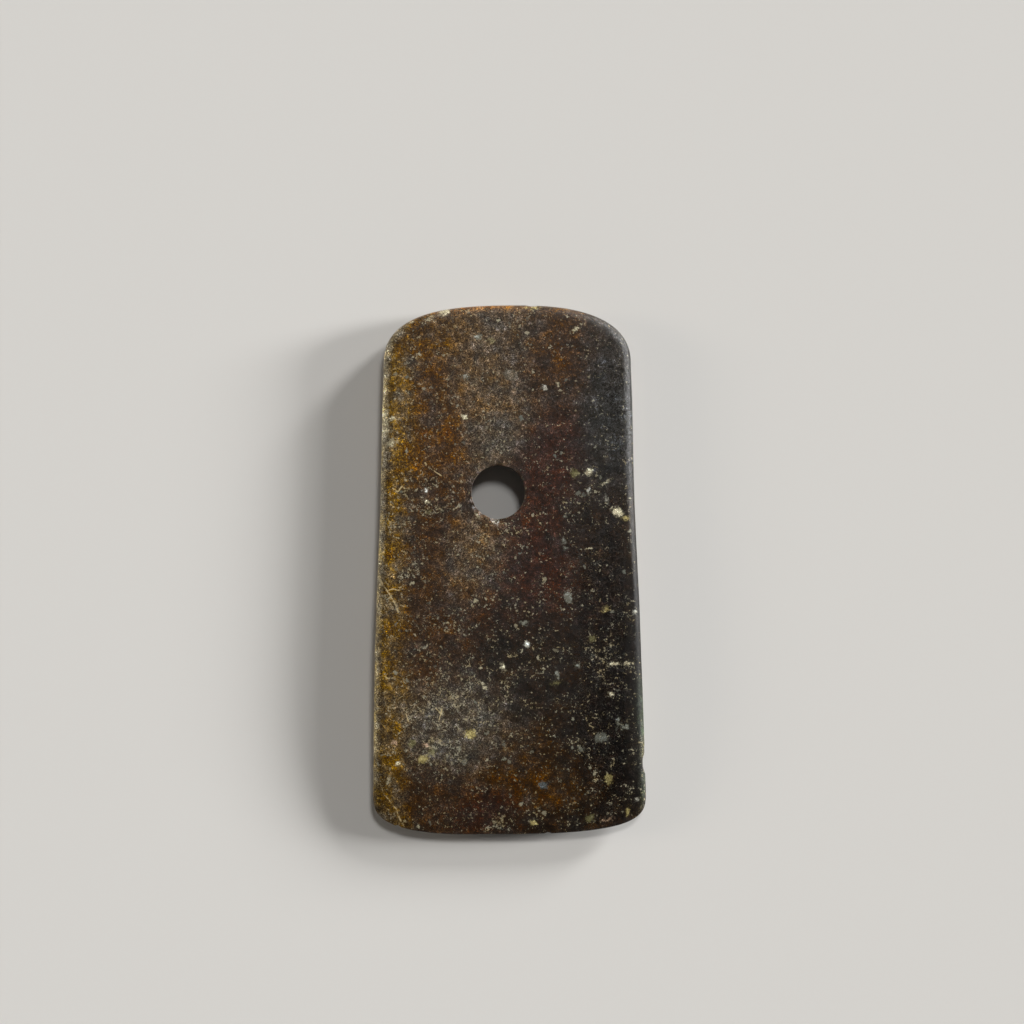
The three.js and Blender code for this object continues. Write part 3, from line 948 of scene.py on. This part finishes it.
def jade_material():
    material = bpy.data.materials.new("jade_mottled")
    material.use_nodes = True
    tree = material.node_tree
    tree.nodes.clear()
    graph = Graph(tree)
    mm = graph.vector("SCALE", graph.node("ShaderNodeTexCoord").outputs["Object"], scale=1 / MM)
    shift = graph.vector("SUBTRACT", graph.noise(mm, 0.9, 2, 0.6, output=1), (0.5, 0.5, 0.5))
    bent = graph.vector("ADD", mm, graph.vector("SCALE", shift, scale=2.0))

    tone = graph.attribute("tone", "Color")
    crowding = graph.math("MULTIPLY", graph.attribute("crowding", "Fac"),
                          graph.range(graph.noise(mm, 0.2, 4, 0.68), 0.35, 0.66, 0.08, 2.1))

    # colour: rust where it is saturated, grey green where it is not
    grey = graph.node("ShaderNodeRGBToBW", {"Color": tone}).outputs[0]
    cool = graph.node("ShaderNodeCombineColor", {
        "Red": graph.math("MULTIPLY", grey, 0.98), "Green": grey, "Blue": graph.math("MULTIPLY", grey, 0.9)})
    play = graph.range(graph.noise(graph.vector("ADD", mm, (40, 17, 5)), 0.2, 6, 0.72),
                       0.36, 0.64, 0.5, 1.5, smooth=False)
    mixer = graph.node("ShaderNodeMix", data_type="RGBA", clamp_factor=False, clamp_result=True)
    graph.feed(mixer.inputs[0], play)
    graph.feed(mixer.inputs[6], cool.outputs[0])
    graph.feed(mixer.inputs[7], tone)
    colour = mixer.outputs[2]

    # brightness: soft patches, then grains
    patches = graph.noise(mm, 0.26, 6, 0.8)
    clots = graph.noise(bent, 0.95, 3, 0.7)
    grains = graph.noise(bent, 2.3, 4, 0.9)
    patch_gain = power_gain(graph, patches, PATCH_CONTRAST)
    gain = graph.math("MULTIPLY", patch_gain, power_gain(graph, grains, GRAIN_CONTRAST))
    gain = graph.math("MULTIPLY", gain, power_gain(graph, clots, CLOT_CONTRAST))
    grey_gain = graph.node("ShaderNodeCombineColor", {
        "Red": graph.math("POWER", gain, 0.93), "Green": gain, "Blue": graph.math("POWER", gain, 1.12)})
    colour = graph.mix(1.0, colour, grey_gain.outputs[0], "MULTIPLY")

    # pale growths: fine salt, crumbs and squiggles
    pale_hue = graph.range(graph.noise(mm, 0.35, 3, 0.6), 0.4, 0.6)
    warm = graph.mix(0.35, linear(GROWTHS["warm salt"]), tone)
    pale = graph.mix(pale_hue, warm, linear(GROWTHS["cool salt"]))
    salt = graph.range(graph.noise(bent, 4.2, 1, 0.5), 0.58, 0.76)
    colour = graph.mix(graph.math("MULTIPLY", graph.math("MULTIPLY", salt, crowding), 0.2), colour, pale)
    crumb_tints = [linear(GROWTHS[name]) for name in ("light crumb", "dark crumb")]
    for scale, chance, size in CRUMBS:
        crumb, shade = crumbs(graph, bent, crowding, scale, chance, size)
        colour = graph.mix(crumb, colour, graph.mix(shade, *crumb_tints))
    thread = graph.mix(0.45, pale, linear(GROWTHS["thread"]))
    for scale, share in SQUIGGLES:
        line = squiggles(graph, bent, mm, crowding, scale, share)
        colour = graph.mix(graph.math("MULTIPLY", line, 0.75), colour, thread)

    # inclusions and the painted glints by the bore, with borders that the grain makes uneven
    uneven = graph.math("ADD", graph.range(graph.noise(mm, 1.3, 3, 0.65), 0.3, 0.7, -0.6, 0.6, smooth=False),
                        graph.range(grains, 0.3, 0.7, -0.3, 0.3, smooth=False))
    reach = graph.math("ADD", graph.attribute("pale_reach", "Fac"), uneven)
    tint = graph.attribute("pale_tint", "Color")
    strength = graph.attribute("pale_strength", "Fac")
    tinted = graph.mix(1.0, tint, grey_gain.outputs[0], "MULTIPLY")
    tinted = graph.mix(0.55, tinted, tint)
    halo = graph.math("MULTIPLY", graph.range(reach, 0.5, -0.1), graph.math("MULTIPLY", strength, 0.25))
    colour = graph.mix(halo, colour, tinted)
    core = graph.math("MULTIPLY", graph.range(reach, 0.04, -0.14), strength)
    colour = graph.mix(core, colour, tinted)

    # veins, broken in places
    broken = graph.range(graph.noise(graph.vector("ADD", mm, (9, 3, 1)), 1.1, 2, 0.6), 0.38, 0.5)
    crisp = graph.math("ADD", graph.attribute("vein_reach", "Fac"),
                       graph.range(grains, 0.3, 0.7, -0.12, 0.12, smooth=False))
    vein = graph.math("MULTIPLY", graph.range(crisp, 0.1, -0.02), broken)
    colour = graph.mix(graph.math("MULTIPLY", vein, 0.85), colour, linear(GROWTHS["vein"]))

    roughness = graph.math("SUBTRACT", graph.attribute("roughness", "Fac"),
                           graph.range(grains, 0.3, 0.7, -0.04, 0.04, smooth=False))
    height = graph.math("ADD", grains, graph.math("MULTIPLY", graph.noise(mm, 0.7, 3, 0.6), 1.2))
    bump = graph.node("ShaderNodeBump", {"Height": height, "Strength": 0.4, "Distance": 0.0003})
    shader = graph.node("ShaderNodeBsdfPrincipled", {
        "Base Color": colour, "Roughness": roughness, "Normal": bump.outputs[0], "IOR": 1.5,
        "Specular IOR Level": 0.3})
    output = graph.node("ShaderNodeOutputMaterial")
    tree.links.new(shader.outputs[0], output.inputs["Surface"])
    return material


# ---------------------------------------------------------------- stage, light and camera

FLOOR_REACH = 4.0  # metres
FLOOR_DROP = 0.0002  # metres below the blade's back
VIEW_WIDTH = 290.6
VIEW_CENTRE = (0.7, 16.5)
LENS = 100.0
SENSOR = 36.0


def plain_material(name, code, roughness):
    material = bpy.data.materials.new(name)
    material.use_nodes = True
    shader = material.node_tree.nodes["Principled BSDF"]
    shader.inputs["Base Color"].default_value = (*linear(code), 1)
    shader.inputs["Roughness"].default_value = roughness
    shader.inputs["Specular IOR Level"].default_value = 0.2
    return material


def make_floor():
    """A wide pale sheet that the axe head lies on."""
    corners = [(x * FLOOR_REACH, y * FLOOR_REACH, 0) for x, y in ((-1, -1), (1, -1), (1, 1), (-1, 1))]
    mesh = bpy.data.meshes.new("floor")
    mesh.from_pydata(corners, [], [(0, 1, 2, 3)])
    mesh.materials.append(plain_material("floor_paper", "d8d6d2", 0.9))
    floor = bpy.data.objects.new("floor", mesh)
    floor.location.z = -FLOOR_DROP
    bpy.context.scene.collection.objects.link(floor)


def distant_softbox(name, azimuth, elevation, width, strength, code="ffffff"):
    """A soft light from far away, its direction and apparent width in degrees."""
    data = bpy.data.lights.new(name, "SUN")
    data.angle = math.radians(width)
    data.energy = strength
    data.color = linear(code)
    turn, rise = math.radians(azimuth), math.radians(elevation)
    towards = Vector((math.cos(rise) * math.cos(turn), math.cos(rise) * math.sin(turn), math.sin(rise)))
    light = bpy.data.objects.new(name, data)
    light.location = towards
    light.rotation_mode = "QUATERNION"
    light.rotation_quaternion = (-towards).to_track_quat("-Z", "Y")
    bpy.context.scene.collection.objects.link(light)


def make_lights():
    distant_softbox("key_above_the_butt", 69, 56, 13, 0.95)
    distant_softbox("low_right", 10, 12, 12, 4.4)
    distant_softbox("low_butt_corner", 42, 12, 12, 4.0)
    distant_softbox("low_left", 173, 14, 14, 0.73, "fff0dc")


def make_world():
    """Pale round the horizon and dim overhead, as in a studio with a dark ceiling."""
    world = bpy.data.worlds.new("studio")
    world.use_nodes = True
    world.node_tree.nodes.clear()
    graph = Graph(world.node_tree)
    direction = graph.node("ShaderNodeTexCoord").outputs["Generated"]
    up = graph.node("ShaderNodeSeparateXYZ", {"Vector": direction}).outputs["Z"]
    strength = graph.range(up, 0.02, 0.55, 0.75, 0.05)
    background = graph.node("ShaderNodeBackground", {"Strength": strength})
    background.inputs["Color"].default_value = (*linear("e6e5e3"), 1)
    output = graph.node("ShaderNodeOutputWorld")
    world.node_tree.links.new(background.outputs[0], output.inputs["Surface"])
    bpy.context.scene.world = world


def make_camera():
    """Straight down, with the blade a little below the middle of the picture."""
    height = MID_PLANE_Z + VIEW_WIDTH * LENS / SENSOR
    data = bpy.data.cameras.new("camera")
    data.lens = LENS
    data.sensor_width = SENSOR
    camera = bpy.data.objects.new("camera", data)
    camera.location = (VIEW_CENTRE[0] * MM, VIEW_CENTRE[1] * MM, height * MM)
    bpy.context.scene.collection.objects.link(camera)
    bpy.context.scene.camera = camera


blade = make_blade()
blade.data.materials.append(jade_material())
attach(blade, "root")
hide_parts(NODE)

make_floor()
make_lights()
make_world()
make_camera()
bpy.context.scene.view_settings.view_transform = "Standard"
